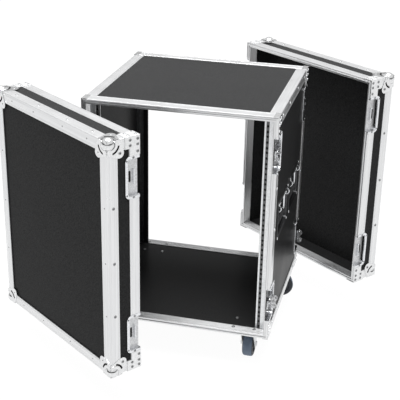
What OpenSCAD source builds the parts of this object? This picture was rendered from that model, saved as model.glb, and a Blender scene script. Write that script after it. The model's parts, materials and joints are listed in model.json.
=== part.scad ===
// Equipment rack case on castors with its two lift-off covers beside it.
// Frame: +Z up, the floor at z = 0, the origin midway under the case body.
// The front opening faces -Y. Each cover stands turned away from its opening.

/* [Case body] */
// Outside width of the case body
case_w = 530; // [500:5:620]
// Outside depth of the case body
case_d = 500; // [470:5:650]
// Rack height in units of 44.45 mm
rack_units = 14; // [12:1:18]
// Thickness of the plywood panels
panel_t = 9; // [7:0.5:12]

/* [Aluminium extrusions] */
// Sheet thickness of the angles and the rim flanges
sheet_t = 2; // [1.5:0.1:2.5]
// Leg of the edge angles
angle_leg = 30; // [25:1:34]
// Outer flange of the rim extrusion
rim_flange = 36; // [32:1:42]
// Thickness of the rim across the end of the panels
rim_web = 5; // [4:0.5:7]

/* [Covers] */
// Depth of a cover from its rim to its face
cover_d = 97; // [80:1:110]
// Turn of each cover away from its opening, in degrees
cover_turn = 36.5; // [34:0.5:40]
// Rim centre of the front cover to the left of the case centre
cover_shift = 246; // [244:1:290]
// Rim centre of the front cover in front of the case centre
cover_gap = 311; // [308:1:360]

/* [Rack rails] */
// Distance from each opening to the face of its rails
rail_setback = 30; // [30:1:50]
// Clear width between the rails
rail_clear = 447; // [446:0.5:455]
// Diameter of the rail holes
rail_hole_d = 7; // [6:0.1:7.4]

/* [Latches and handles] */
// Length of a latch dish along the rim
latch_l = 112; // [100:2:120]
// Width of a latch dish on the case side
latch_w = 62; // [58:1:66]
// Height of the outer latches from the nearer end of the case
latch_inset = 106; // [100:1:140]
// Distance between the two handles of a side
handle_pitch = 190; // [180:2:200]

/* [Castors] */
// Wheel diameter
wheel_d = 75; // [60:1:80]
// Wheel width at the tread
wheel_w = 30; // [24:1:32]
// Height from the floor to the case body
castor_h = 104; // [102:1:125]
// Trail of the wheel behind its swivel axis
castor_trail = 28; // [22:1:34]
// Angle to which the rear right castor is swivelled out, in degrees
castor_swing = 75; // [0:5:90]

/* [Hidden] */
$fn = 48;
unit = 44.45;
mitre_gap = 0.1;
rim_t = panel_t + 2 * sheet_t;
case_h = ceil(rack_units * unit) + 2 * rim_t + 1;
half_w = case_w / 2;
half_d = case_d / 2;
z_low = castor_h;
z_top = castor_h + case_h;
z_mid = (z_low + z_top) / 2;
skin = half_w - sheet_t;          // outer surface of the side panels
lining = skin - panel_t;          // inner surface of the side panels
inner_flange = 30;                // rim flange inside the case
groove_w = 3.4;                   // groove of the case rim
groove_d = 3;
tongue_w = 3;                     // tongue of the cover rim
tongue_h = 3;
plate_t = 1.5;                    // pressed steel sheet
recess = 9;                       // depth of the latch dishes
tray_depth = recess + plate_t;
dish_lip = 8;                     // flat lip around a latch dish
keeper_w = 42;                    // width of a keeper dish
cup_w = 134;                      // handle cup
cup_h = 88;
cup_depth = 17;
handle_lip = 13;
bail_r = 4;
bail_pin_r = 3;
bail_drop = 52;                   // pivot to grip
pin_x = skin - bail_r - 3;        // pivot of a bail
pin_z = cup_h / 2 - bail_r - 5;
grip_r = 7;
pin_gap = 0.05;                   // radial play of every pin
brace_drop = 48;                  // brace legs down the case and the covers
cover_brace_drop = 50;
ball_r = 19;
ball_inset = 10;
ball_leg = 48;
petal_r = 13;
rivet_r = 4.2;
rivet_h = 1.6;
rivet_pitch = 150;
axle_r = 4;
king_r = 6;
fork_t = 2.5;
race_h = 8;
bolt_r = 3;                       // castor bolts
plate_w = 95;                     // castor plate across and along the case
plate_l = 70;
castor_x = half_w - 64;
castor_y = half_d - 48;
drum_r = 9;
drum_v = 30;                      // latch axis behind the rim
stud_r = 3;                       // stud that each latch key turns on
stud_h = 5;
latch_dz = case_h / 2 - latch_inset;

SIDES = [-1, 1];

// ---------- shared helpers ----------

// A box given by its two opposite corners
module box(low, high) {
  translate(low) cube(high - low);
}

// Turns a shape from the front opening to the rear one
module to_rear() {
  rotate([0, 0, 180]) children();
}

// The shape on both sides of the plane x = 0
module both_sides() {
  children();
  mirror([1, 0, 0]) children();
}

// The shape at every corner of the case body
module four_corners() {
  both_sides() {
    children();
    mirror([0, 1, 0]) children();
  }
}

// Carries a shape from the plane x = half_w, seen from outside, to one place on a case side.
// side is 1 on the right and -1 on the left; at is the place along Y and Z.
module on_side(side, at) {
  translate([0, at[0], at[1]])
    if (side > 0) children();
    else mirror([1, 0, 0]) children();
}

// One mitred bar of a rectangular frame in the XZ plane: outline half_a by half_b, set in by
// inset and t wide, from depth y0 to y1. The frame is centred on the origin. The bar stops
// a hair short of its neighbours, so that each stays a piece of its own.
module frame_bar(which, half_a, half_b, inset, t, y0, y1) {
  level = which % 2;
  reach = level == 0 ? half_a : half_b;
  other = level == 0 ? half_b : half_a;
  far = other - inset;
  end = reach - inset - mitre_gap;
  translate([0, y1, 0]) rotate([90, 0, 0]) linear_extrude(y1 - y0)
    rotate(level == 0 ? 180 * which / 2 : 90 * which)
      polygon([[-end, -far], [end, -far], [end - t, t - far], [t - end, t - far]]);
}

// One extrusion of a rim: web, outer flange and inner flange, opening face at y = 0
module rim_bar(which, half_b, flange) {
  frame_bar(which, half_w, half_b, 0, rim_t, 0, rim_web);
  frame_bar(which, half_w, half_b, 0, sheet_t, 0, flange);
  frame_bar(which, half_w, half_b, rim_t - sheet_t, sheet_t, 0, inner_flange);
}

// Domed head of a blind rivet, lying on the plane z = 0
module rivet() {
  cylinder(r1 = rivet_r, r2 = rivet_r - 1.5, h = rivet_h, $fn = 20);
}

// A rivet whose head points along +X
module rivet_x() {
  rotate([0, 90, 0]) rivet();
}

// Brace of a rim corner: an L plate on the case side, folded over the top. The corner is at
// the origin and the case lies towards -X, -Z and +Y.
module corner_brace(depth, drop, fold) {
  leg = 30;
  difference() {
    box([0, 0, -drop], [plate_t, depth, plate_t]);
    box([-1, leg, -drop - 1], [plate_t + 1, depth + 1, -leg]);
  }
  box([-fold, 0, 0], [0, depth, plate_t]);
}

// Pressed tray of a latch or keeper. The wall is the plane x = 0 and the rim is y = 0.
module latch_tray(w) {
  half_l = latch_l / 2;
  inner_l = half_l - dish_lip;
  round_r = 12;
  difference() {
    union() {
      box([0, 0, -half_l], [plate_t, w - round_r, half_l]);
      box([0, w - round_r, round_r - half_l], [plate_t, w, half_l - round_r]);
      for (s = SIDES)
        translate([0, w - round_r, s * (half_l - round_r)]) rotate([0, 90, 0])
          cylinder(r = round_r, h = plate_t);
      box([-tray_depth, 0, -inner_l - plate_t], [0, w - dish_lip + plate_t, inner_l + plate_t]);
    }
    box([-recess, -1, -inner_l], [plate_t + 1, w - dish_lip, inner_l]);
  }
}

// Room for a latch tray: depth below the case side, from y = front to the end of the tray
module latch_cut(w, depth, front = -1) {
  inner_l = latch_l / 2 - dish_lip + plate_t;
  box([-depth, front, -inner_l], [1, w - dish_lip + plate_t, inner_l]);
}

// Places children at the two latch heights of a frame centred on the origin
module latch_heights() {
  for (s = SIDES) translate([0, 0, s * latch_dz]) children();
}

// ---------- case body ----------

module level_panel(z0) {
  box([-lining, rim_web - half_d, z0], [lining, half_d - rim_web, z0 + panel_t]);
}

module top_panel() {
  color("#26282b") level_panel(z_top - sheet_t - panel_t);
}

module bottom_panel() {
  color("#26282b") difference() {
    level_panel(z_low + sheet_t);
    four_corners() translate([castor_x, -castor_y, z_low])
      for (row = SIDES) castor_bolt_row(row) cylinder(r = bolt_r + 0.2, h = rim_t + 1);
  }
}

module side_panel() {
  difference() {
    box([lining, rim_web - half_d, z_low + sheet_t], [skin, half_d - rim_web, z_top - sheet_t]);
    for (s = SIDES)
      on_side(1, [s * handle_pitch / 2, z_mid])
        box([0, -cup_w / 2 - plate_t, -cup_h / 2 - plate_t],
            [half_w, cup_w / 2 + plate_t, cup_h / 2 + plate_t]);
    for (turn = [0, 1])
      mirror([0, turn, 0])
        translate([half_w, -half_d, z_mid])
          latch_heights() latch_cut(latch_w, rim_t);
  }
}

module right_side_panel() {
  color("#26282b") side_panel();
}

module left_side_panel() {
  color("#26282b") mirror([1, 0, 0]) side_panel();
}

// Angle along the depth of each long edge, between the two rims
module edge_angles() {
  color("#c9ccce") for (side = [0, 1], level = [0, 1])
    mirror([side, 0, 0])
      translate([0, 0, z_mid]) mirror([0, 0, level])
        difference() {
          box([half_w - angle_leg, rim_flange - half_d, case_h / 2 - angle_leg],
              [half_w, half_d - rim_flange, case_h / 2]);
          box([0, -half_d, 0], [skin, half_d, case_h / 2 - sheet_t]);
        }
}

// Room of the groove that runs around the rim
module rim_groove() {
  a = half_w - (rim_t - groove_w) / 2;
  b = case_h / 2 - (rim_t - groove_w) / 2;
  difference() {
    box([-a, -1, -b], [a, groove_d, b]);
    box([groove_w - a, -2, groove_w - b], [a - groove_w, groove_d + 1, b - groove_w]);
  }
}

// Front rim of the case: four extrusions with a groove, notched for the latch dishes
module case_rim() {
  translate([0, -half_d, z_mid])
    difference() {
      for (which = [0 : 3]) rim_bar(which, case_h / 2, rim_flange);
      rim_groove();
      both_sides() translate([castor_x, half_d - castor_y, -case_h / 2 - 1])
        castor_bolt_row(-1) cylinder(r = bolt_r + 0.2, h = rim_t + 2);
      both_sides() translate([half_w, 0, 0]) latch_heights() latch_cut(latch_w, tray_depth);
    }
}

module front_rim() {
  color("#c9ccce") case_rim();
}

module rear_rim() {
  color("#c9ccce") to_rear() case_rim();
}

module body_corner_braces() {
  color("#b9bcbf") four_corners()
    for (level = [0, 1])
      translate([0, 0, z_mid]) mirror([0, 0, level])
        translate([half_w, -half_d, case_h / 2]) corner_brace(rim_flange, brace_drop, 14);
}

// Places children at the eight latches; the wall is x = 0 and the rim is y = 0
module at_latches() {
  four_corners() translate([half_w, -half_d, z_mid]) latch_heights() children();
}

module latch_dishes() {
  color("#b4b7ba") at_latches() {
    latch_tray(latch_w);
    translate([-recess, drum_v, 0]) rotate([0, 90, 0]) cylinder(r = stud_r, h = stud_h);
  }
}

// Drawn-back hook of each latch, lying in its dish
module latch_hooks() {
  hook_w = 26;
  nose = 3;
  color("#a9acb0") at_latches()
    translate([-recess, 0, 0]) {
      box([0, nose, -hook_w / 2], [2.5, drum_v - drum_r - 1, hook_w / 2]);
      box([2.5, nose, -hook_w / 2], [6, nose + 3, hook_w / 2]);
    }
}

// Recessed cup of a handle. The panel skin is the plane x = skin.
module handle_cup() {
  hw = cup_w / 2;
  hh = cup_h / 2;
  difference() {
    union() {
      box([skin, -hw - handle_lip, -hh - handle_lip], [skin + plate_t, hw + handle_lip, hh + handle_lip]);
      box([skin - cup_depth - plate_t, -hw - plate_t, -hh - plate_t],
          [skin, hw + plate_t, hh + plate_t]);
    }
    box([skin - cup_depth, -hw, -hh], [half_w + 1, hw, hh]);
    translate([pin_x, -hw - 5, pin_z]) rotate([-90, 0, 0])
      cylinder(r = bail_pin_r + pin_gap, h = cup_w + 10);
  }
}

module handle_dishes() {
  color("#3a3c40") both_sides()
    for (s = SIDES)
      translate([0, s * handle_pitch / 2, z_mid]) handle_cup();
}

// Sprung bail of a handle: two arms, their pivot pins and the bar inside the grip
module handle_bail() {
  arm_y = cup_w / 2 - 8;
  translate([pin_x, 0, pin_z]) {
    for (s = SIDES) {
      translate([0, s * arm_y, -bail_drop]) cylinder(r = bail_r, h = bail_drop);
      translate([0, s * arm_y, 0]) sphere(r = bail_r);
      translate([0, s * arm_y, -bail_drop]) sphere(r = bail_r);
      translate([0, s * arm_y, 0]) rotate([-90 * s, 0, 0])
        cylinder(r = bail_pin_r, h = cup_w / 2 + plate_t - arm_y);
    }
    translate([0, -arm_y, -bail_drop]) rotate([-90, 0, 0])
      cylinder(r = bail_r, h = 2 * arm_y);
  }
}

// Moulded sleeve around the bar of a bail
module handle_grip() {
  grip_l = cup_w - 34;
  translate([pin_x, -grip_l / 2, pin_z - bail_drop]) rotate([-90, 0, 0])
    difference() {
      cylinder(r = grip_r, h = grip_l);
      translate([0, 0, -1]) cylinder(r = bail_r, h = grip_l + 2);
    }
}

// One of the four handles: side 1 is right, end -1 is front
module at_handle(side, end) {
  on_side(side, [end * handle_pitch / 2, z_mid]) children();
}

// Outline of a latch key's two lobes, side by side around the origin
module wing_lobes() {
  square(14, center = true);
  for (s = SIDES) translate([0, s * 12]) circle(r = 10);
}

// Twist key of a latch: a drum in the dish with two wings. They stand out of the dish on the
// lower latches and lie folded down over it on the upper ones.
module latch_wing(folded) {
  wing_t = 2.5;
  root = -1;
  translate([0, drum_v, 0]) {
    translate([0.3 - recess, 0, 0]) rotate([0, 90, 0])
      difference() {
        cylinder(r = drum_r, h = recess - 0.5);
        translate([0, 0, -1]) cylinder(r = stud_r + pin_gap, h = stud_h + 1.2);
      }
    if (folded) {
      translate([root, 0, 0]) rotate([90, 0, 90]) linear_extrude(wing_t) wing_lobes();
      translate([wing_t + root, -8, 0]) rotate([-90, 0, 0]) cylinder(r = 2.4, h = 16);
    } else
      translate([0, -wing_t / 2, 0]) rotate([-90, 0, 0]) linear_extrude(wing_t) {
        translate([9, 0]) wing_lobes();
        translate([root, -7]) square([10, 14]);
      }
  }
}

module at_latch(side, end, level) {
  mirror([side > 0 ? 0 : 1, 0, 0])
    mirror([0, end > 0 ? 1 : 0, 0])
      translate([half_w, -half_d, z_mid + level * latch_dz]) children();
}

// L rail with the standard rack hole pattern, front face at y = 0
module rack_rail() {
  low = z_low + rim_t;
  count = 3 * rack_units;
  steps = [6.35, 22.225, 38.1];
  difference() {
    union() {
      box([rail_clear / 2, 0, low + 0.5], [lining, sheet_t, z_top - rim_t - 0.5]);
      box([lining - sheet_t, 0, low + 0.5], [lining, 27, z_top - rim_t - 0.5]);
    }
    for (i = [0 : count - 1])
      translate([465.1 / 2, -1, low + 0.85 + floor(i / 3) * unit + steps[i % 3]])
        rotate([-90, 0, 0]) cylinder(d = rail_hole_d, h = sheet_t + 2, $fn = 24);
  }
}

module rail_pair() {
  both_sides() translate([0, rail_setback - half_d, 0]) rack_rail();
}

module front_rack_rails() {
  color("#c4c6c8") rail_pair();
}

module rear_rack_rails() {
  color("#c4c6c8") to_rear() rail_pair();
}

// Rivets of the body: along the rim and angle strips and on the latch dishes
module body_rivets() {
  color("#d5d7d9") {
    four_corners() {
      for (k = [-1, 0, 1])
        translate([half_w, rim_flange - half_d - 8, z_mid + k * rivet_pitch * 0.8]) rivet_x();
      for (level = [0, 1])
        translate([0, 0, z_mid]) mirror([0, 0, level]) translate([0, 0, case_h / 2]) {
          for (k = [0, 1])
            translate([half_w, 70 - half_d + k * 110, -angle_leg / 2]) rivet_x();
          for (at = [[8, -8], [8, -22], [8, -38], [26, -8], [26, -22]])
            translate([half_w + plate_t, at[0] - half_d, at[1]]) rivet_x();
        }
    }
    at_latches()
      for (s = SIDES, y = [14, latch_w - 16])
        translate([plate_t, y, s * (latch_l / 2 - dish_lip / 2)]) scale(0.8) rivet_x();
    both_sides()
      for (s = SIDES, y = SIDES, z = SIDES)
        translate([skin + plate_t, s * handle_pitch / 2 + y * (cup_w / 2 + 6.5),
                   z_mid + z * (cup_h / 2 + 6.5)]) rivet_x();
  }
}

// ---------- castors ----------

// Plates under the rims and the bottom panel, packed out behind the rims, each with its race
module castor_plates() {
  behind = castor_y - half_d + rim_flange;
  color("#c3c6c8") four_corners()
    translate([castor_x, -castor_y, z_low])
      difference() {
        union() {
          translate([-plate_w / 2, -plate_l / 2, -3]) cube([plate_w, plate_l, 3]);
          translate([-plate_w / 2, behind, -1])
            cube([half_w - angle_leg - castor_x + plate_w / 2, plate_l / 2 - behind, sheet_t + 1]);
          translate([0, 0, -3 - race_h]) cylinder(r = 25, h = race_h);
        }
        translate([0, 0, -3 - race_h - 1]) cylinder(r = king_r + pin_gap, h = race_h + 3);
        for (row = SIDES)
          castor_bolt_row(row) translate([0, 0, -5]) cylinder(r = bolt_r + 0.2, h = 10);
      }
}

// Places children at two bolts of a castor plate: row -1 is the one near the rim
module castor_bolt_row(row) {
  for (x = [-38, 22]) translate([x, row * 27, 0]) children();
}

// Bolts up through the castor plates: nuts below, round heads on the rim or the panel inside
module castor_bolts() {
  color("#8f9296") four_corners()
    translate([castor_x, -castor_y, z_low - 3])
      for (row = SIDES) castor_bolt_row(row) {
        shank = 3 + rim_t - (row > 0 ? sheet_t : 0);
        translate([0, 0, -4]) cylinder(r = 6, h = 4, $fn = 6);
        cylinder(r = bolt_r, h = shank);
        translate([0, 0, shank]) cylinder(r1 = 5, r2 = 3.5, h = 2);
      }
}

// Swivel fork with its king pin, axle and nut; the swivel axis is x = y = 0
module castor_fork() {
  crown_z = z_low - 3 - race_h - 0.5;
  leg_x = wheel_w / 2 + 2;
  axle_z = wheel_d / 2;
  translate([0, 0, crown_z - 3]) cylinder(r = 23, h = 3);
  translate([0, 0, crown_z]) cylinder(r = king_r, h = race_h);
  translate([-leg_x - fork_t, -14, crown_z - 6]) cube([2 * (leg_x + fork_t), 28, 3]);
  for (s = SIDES)
    mirror([s > 0 ? 0 : 1, 0, 0])
      translate([leg_x, 0, 0]) rotate([90, 0, 90]) linear_extrude(fork_t)
        union() {
          polygon([[-14, crown_z - 3], [14, crown_z - 3], [12 - castor_trail, axle_z - 2],
                   [-12 - castor_trail, axle_z - 2]]);
          translate([-castor_trail, axle_z]) circle(r = 12);
        }
  translate([-leg_x - fork_t - 3, -castor_trail, axle_z]) rotate([0, 90, 0]) {
    cylinder(r = axle_r, h = 2 * (leg_x + fork_t + 3));
    cylinder(r = 7.5, h = 3);
    translate([0, 0, 2 * (leg_x + fork_t) + 3]) cylinder(r = 7, h = 5, $fn = 6);
  }
}

// Core of a wheel with its bore
module castor_hub() {
  hub_r = wheel_d / 2 - 9;
  translate([0, -castor_trail, wheel_d / 2]) rotate([0, 90, 0])
    difference() {
      union() {
        translate([0, 0, 1 - wheel_w / 2]) cylinder(r = hub_r, h = wheel_w - 2);
        translate([0, 0, -wheel_w / 2 - 1.5]) cylinder(r = 10, h = wheel_w + 3);
      }
      translate([0, 0, -wheel_w]) cylinder(r = axle_r + pin_gap, h = 2 * wheel_w);
      for (s = SIDES) translate([0, 0, s * (wheel_w / 2 + 1)])
        difference() {
          cylinder(r = hub_r - 4, h = 10, center = true);
          cylinder(r = 11, h = 12, center = true);
        }
    }
}

// Rubber tread with rounded shoulders
module castor_tyre() {
  hub_r = wheel_d / 2 - 9;
  shoulder = 6;
  half = wheel_w / 2;
  rim_r = wheel_d / 2 - shoulder;
  arc = [for (a = [0 : 15 : 90]) [rim_r + shoulder * sin(a), half - shoulder + shoulder * cos(a)]];
  back = [for (a = [90 : -15 : 0]) [rim_r + shoulder * sin(a), -half + shoulder - shoulder * cos(a)]];
  translate([0, -castor_trail, wheel_d / 2]) rotate([0, 90, 0])
    rotate_extrude($fn = 72) polygon(concat([[hub_r, half - 1]], arc, back, [[hub_r, 1 - half]]));
}

// Carries a castor part to its corner: side 1 is right, end -1 is front
module at_castor(side, end) {
  heading = side > 0 && end > 0 ? 180 - castor_swing : 180;
  translate([side * castor_x, end * castor_y, 0]) rotate([0, 0, heading]) children();
}

// ---------- covers ----------

// Carries a cover from its own frame, face towards -Y and rim centre at the origin
module place_cover(end) {
  rotate([0, 0, end > 0 ? 180 : 0])
    translate([-cover_shift, -cover_gap, z_mid]) rotate([0, 0, -cover_turn]) children();
}

// Places children at the keepers of a cover; the wall is x = 0 and the rim is y = 0
module at_keepers() {
  both_sides() translate([half_w, -tongue_h, 0]) latch_heights() mirror([0, 1, 0]) children();
}

// Face board and the four walls of a cover
module cover_boards() {
  half_h = case_h / 2;
  face = sheet_t - cover_d;
  edge = -tongue_h - rim_web;
  color("#26282b") difference() {
    union() {
      box([-skin, face, sheet_t - half_h], [skin, face + panel_t, half_h - sheet_t]);
      both_sides() box([lining, face + panel_t, sheet_t - half_h], [skin, edge, half_h - sheet_t]);
      for (level = [0, 1]) mirror([0, 0, level])
        box([-lining, face + panel_t, half_h - sheet_t - panel_t], [lining, edge, half_h - sheet_t]);
    }
    at_keepers() latch_cut(keeper_w, rim_t);
  }
}

// Angles around the face of a cover and on its short edges
module cover_edging() {
  half_h = case_h / 2;
  color("#c9ccce") {
    for (which = [0 : 3]) {
      frame_bar(which, half_w, half_h, 0, sheet_t, -cover_d, angle_leg - cover_d);
      frame_bar(which, half_w, half_h, 0, angle_leg, -cover_d, sheet_t - cover_d);
    }
    both_sides() for (level = [0, 1]) mirror([0, 0, level])
      difference() {
        box([half_w - angle_leg, angle_leg - cover_d, half_h - angle_leg],
            [half_w, -tongue_h - angle_leg, half_h]);
        box([0, -cover_d, 0], [skin, 0, half_h - sheet_t]);
      }
  }
}

// Rim of a cover: four extrusions with a tongue, notched for the keepers
module cover_rim() {
  half_h = case_h / 2;
  color("#c9ccce") difference() {
    for (which = [0 : 3]) {
      translate([0, -tongue_h, 0]) mirror([0, 1, 0]) rim_bar(which, half_h, angle_leg);
      frame_bar(which, half_w, half_h, (rim_t - tongue_w) / 2, tongue_w, -tongue_h, 0);
    }
    at_keepers() latch_cut(keeper_w, tray_depth, -tongue_h - 1);
  }
}

// One leg of a ball corner, lying on z = 0 in the quarter x < 0, y > 0 of its corner
module ball_petal() {
  end = ball_leg - petal_r;
  tip = [for (a = [60 : 15 : 210]) [petal_r * cos(a) - end, petal_r * sin(a) + end]];
  linear_extrude(plate_t)
    polygon(concat([[plate_t, -plate_t], [plate_t, 34]], tip, [[-34, -plate_t]]));
}

// Ball corner: three legs and a ball over the corner at the origin; the cover lies
// towards -X, +Y and -Z
module ball_corner() {
  difference() {
    union() {
      translate([-ball_inset, ball_inset, -ball_inset]) sphere(r = ball_r);
      ball_petal();
      rotate([90, 0, 0]) mirror([0, 1, 0]) ball_petal();
      rotate([0, 90, 0]) mirror([1, 0, 0]) ball_petal();
    }
    box([-2 * ball_leg, 0, -2 * ball_leg], [0, 2 * ball_leg, 0]);
  }
}

module at_face_corners() {
  both_sides() for (level = [0, 1]) mirror([0, 0, level])
    translate([half_w, -cover_d, case_h / 2]) children();
}

module cover_ball_corners() {
  color("#c6c9cb") at_face_corners() ball_corner();
}

module cover_corner_braces() {
  depth = cover_d - ball_leg - tongue_h - 2;
  color("#b9bcbf") both_sides() for (level = [0, 1]) mirror([0, 0, level])
    translate([half_w, -tongue_h, case_h / 2]) mirror([0, 1, 0])
      corner_brace(depth, cover_brace_drop, 30);
}

// Keeper dish with the bar that the latch hook pulls on
module cover_keepers() {
  color("#b4b7ba") at_keepers() {
    latch_tray(keeper_w);
    box([-recess, 12, -20], [-3, 14.5, 20]);
  }
}

module cover_rivets() {
  half_h = case_h / 2;
  rows_z = [-1, 0, 1];
  tip = ball_leg - petal_r;
  color("#d5d7d9") both_sides() {
    for (k = rows_z) {
      translate([half_w - angle_leg / 2, -cover_d, k * rivet_pitch]) rotate([90, 0, 0]) rivet();
      translate([half_w, angle_leg / 2 - cover_d, k * rivet_pitch]) rivet_x();
    }
    for (level = [0, 1]) mirror([0, 0, level]) translate([0, 0, half_h]) {
      for (k = [0, 1]) {
        translate([70 + k * 110, -cover_d, -angle_leg / 2]) rotate([90, 0, 0]) rivet();
        translate([70 + k * 110, angle_leg / 2 - cover_d, 0]) rivet();
      }
      for (at = [[-10, -8], [-10, -22], [-10, -40], [-32, -8], [-32, -22]])
        translate([half_w + plate_t, at[0], at[1]]) rivet_x();
      for (x = [-8, -22], y = [-10, -32]) translate([half_w + x, y, plate_t]) rivet();
      translate([half_w - tip, -cover_d - plate_t, -tip]) rotate([90, 0, 0]) rivet();
      translate([half_w + plate_t, tip - cover_d, -tip]) rivet_x();
      translate([half_w - tip, tip - cover_d, plate_t]) rivet();
    }
    latch_heights() for (s = SIDES)
      translate([half_w + plate_t, -tongue_h - 20, s * (latch_l / 2 - dish_lip / 2)])
        scale(0.8) rivet_x();
  }
}

module handle_bail_at(side, end) {
  color("#b8bbbe") at_handle(side, end) handle_bail();
}

module handle_grip_at(side, end) {
  color("#1d1e20") at_handle(side, end) handle_grip();
}

module latch_wing_at(side, end, level) {
  color("#b4b7ba") at_latch(side, end, level) latch_wing(level > 0);
}

module castor_fork_at(side, end) {
  color("#b9bcbe") at_castor(side, end) castor_fork();
}

module castor_hub_at(side, end) {
  color("#2c2f36") at_castor(side, end) castor_hub();
}

module castor_tyre_at(side, end) {
  color("#4b5a73") at_castor(side, end) castor_tyre();
}

// ---------- assembly ----------

top_panel();
bottom_panel();
left_side_panel();
right_side_panel();
edge_angles();
front_rim();
rear_rim();
body_corner_braces();
latch_dishes();
latch_hooks();
handle_dishes();
front_rack_rails();
rear_rack_rails();
body_rivets();
castor_bolts();
castor_plates();
handle_bail_at(1, -1);  // handle_bail_right_front
handle_bail_at(1, 1);  // handle_bail_right_rear
handle_bail_at(-1, -1);  // handle_bail_left_front
handle_bail_at(-1, 1);  // handle_bail_left_rear
handle_grip_at(1, -1);  // handle_grip_right_front
handle_grip_at(1, 1);  // handle_grip_right_rear
handle_grip_at(-1, -1);  // handle_grip_left_front
handle_grip_at(-1, 1);  // handle_grip_left_rear
latch_wing_at(1, -1, 1);  // latch_wing_right_front_upper
latch_wing_at(1, -1, -1);  // latch_wing_right_front_lower
latch_wing_at(1, 1, 1);  // latch_wing_right_rear_upper
latch_wing_at(1, 1, -1);  // latch_wing_right_rear_lower
latch_wing_at(-1, -1, 1);  // latch_wing_left_front_upper
latch_wing_at(-1, -1, -1);  // latch_wing_left_front_lower
latch_wing_at(-1, 1, 1);  // latch_wing_left_rear_upper
latch_wing_at(-1, 1, -1);  // latch_wing_left_rear_lower
castor_fork_at(1, -1);  // castor_fork_right_front
castor_fork_at(1, 1);  // castor_fork_right_rear
castor_fork_at(-1, -1);  // castor_fork_left_front
castor_fork_at(-1, 1);  // castor_fork_left_rear
castor_hub_at(1, -1);  // castor_hub_right_front
castor_hub_at(1, 1);  // castor_hub_right_rear
castor_hub_at(-1, -1);  // castor_hub_left_front
castor_hub_at(-1, 1);  // castor_hub_left_rear
castor_tyre_at(1, -1);  // castor_tyre_right_front
castor_tyre_at(1, 1);  // castor_tyre_right_rear
castor_tyre_at(-1, -1);  // castor_tyre_left_front
castor_tyre_at(-1, 1);  // castor_tyre_left_rear
place_cover(-1) cover_boards();  // front_cover_boards
place_cover(-1) cover_edging();  // front_cover_edging
place_cover(-1) cover_rim();  // front_cover_rim
place_cover(-1) cover_ball_corners();  // front_cover_ball_corners
place_cover(-1) cover_corner_braces();  // front_cover_corner_braces
place_cover(-1) cover_keepers();  // front_cover_keepers
place_cover(-1) cover_rivets();  // front_cover_rivets
place_cover(1) cover_boards();  // rear_cover_boards
place_cover(1) cover_edging();  // rear_cover_edging
place_cover(1) cover_rim();  // rear_cover_rim
place_cover(1) cover_ball_corners();  // rear_cover_ball_corners
place_cover(1) cover_corner_braces();  // rear_cover_corner_braces
place_cover(1) cover_keepers();  // rear_cover_keepers
place_cover(1) cover_rivets();  // rear_cover_rivets
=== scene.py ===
"""Looks of an equipment rack case on castors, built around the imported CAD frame.

Shapes are written in millimetres in the frame of the part that they belong to: the case body,
or one of its two covers, whose local frame has the rim centre at the origin, the face towards
-Y and the open side at y = 0. A scale by MM brings them to metres.
"""
import json
from math import atan2, cos, pi, radians, sin

import bmesh
import bpy
import numpy as np
from mathutils import Matrix, Vector
from mathutils.geometry import tessellate_polygon


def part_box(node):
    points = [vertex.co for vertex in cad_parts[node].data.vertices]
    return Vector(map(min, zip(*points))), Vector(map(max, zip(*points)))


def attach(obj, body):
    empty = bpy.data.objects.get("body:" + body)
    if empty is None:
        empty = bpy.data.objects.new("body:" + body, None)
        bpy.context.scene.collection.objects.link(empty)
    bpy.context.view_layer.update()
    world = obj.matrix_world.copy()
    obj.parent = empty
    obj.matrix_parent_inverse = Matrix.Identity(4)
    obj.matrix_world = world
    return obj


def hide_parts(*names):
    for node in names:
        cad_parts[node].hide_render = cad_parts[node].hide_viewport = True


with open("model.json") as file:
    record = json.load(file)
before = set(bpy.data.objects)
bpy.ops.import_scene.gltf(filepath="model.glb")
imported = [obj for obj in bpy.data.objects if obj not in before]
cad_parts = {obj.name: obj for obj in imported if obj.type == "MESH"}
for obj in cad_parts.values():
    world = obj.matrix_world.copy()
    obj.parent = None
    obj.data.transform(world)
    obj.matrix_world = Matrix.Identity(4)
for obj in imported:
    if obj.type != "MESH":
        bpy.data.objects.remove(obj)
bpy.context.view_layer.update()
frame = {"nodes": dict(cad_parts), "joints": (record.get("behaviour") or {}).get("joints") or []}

MM = 0.001
SHARP = radians(32)
SIDES = {"right": 1, "left": -1}
ENDS = {"front": -1, "rear": 1}
LEVELS = {"upper": 1, "lower": -1}

# ---------- sizes of the case, in millimetres ----------

rim_low, rim_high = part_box("front_rim")
HALF_W = rim_high.x / MM
HALF_D = -rim_low.y / MM
HALF_H = (rim_high.z - rim_low.z) / 2 / MM
Z_MID = (rim_high.z + rim_low.z) / 2 / MM
SKIN = HALF_W - 2           # outer surface of the side panels
FLANGE = 36                 # outer flange of the case rims
EDGE = 0.4                  # bevel on the edges of the CAD's own pieces
LEG = 30                    # leg of the angles, flange of the cover rims
INNER = 30                  # inner flange of every rim
SHEET = 2                   # sheet of the extrusions
RIM_T = 13                  # thickness of the walls with their sheets
WEB = 5                     # rim across the end of the walls
TONGUE = 3                  # height and width of the tongue on the cover rims
GROOVE_W = 3.4              # groove of the case rims
COVER_D = 97                # depth of a cover
PLATE = 1.5                 # pressed steel
RECESS = 9                  # depth of the latch dishes
LIP = 8                     # lip around a latch dish
DISH_L = 112                # length of a latch dish
LATCH_W = 62                # width of a latch dish on the case
KEEPER_W = 42               # width of a keeper dish on a cover
DISH_R = 6                  # corners of a latch dish
LATCH_Z = HALF_H - 106      # height of the latches from the middle
DRUM_V = 30                 # latch axis behind the rim
LOBE_U = 12                 # lobes of a key from its axis
KEEPER_V = 23               # slot of a keeper dish behind the rim
HOOK_HALF, BAR_HALF = 13, 20            # half widths of a latch hook and of a keeper's bar
HANDLE_Y = 95               # handles ahead of and behind the middle
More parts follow.
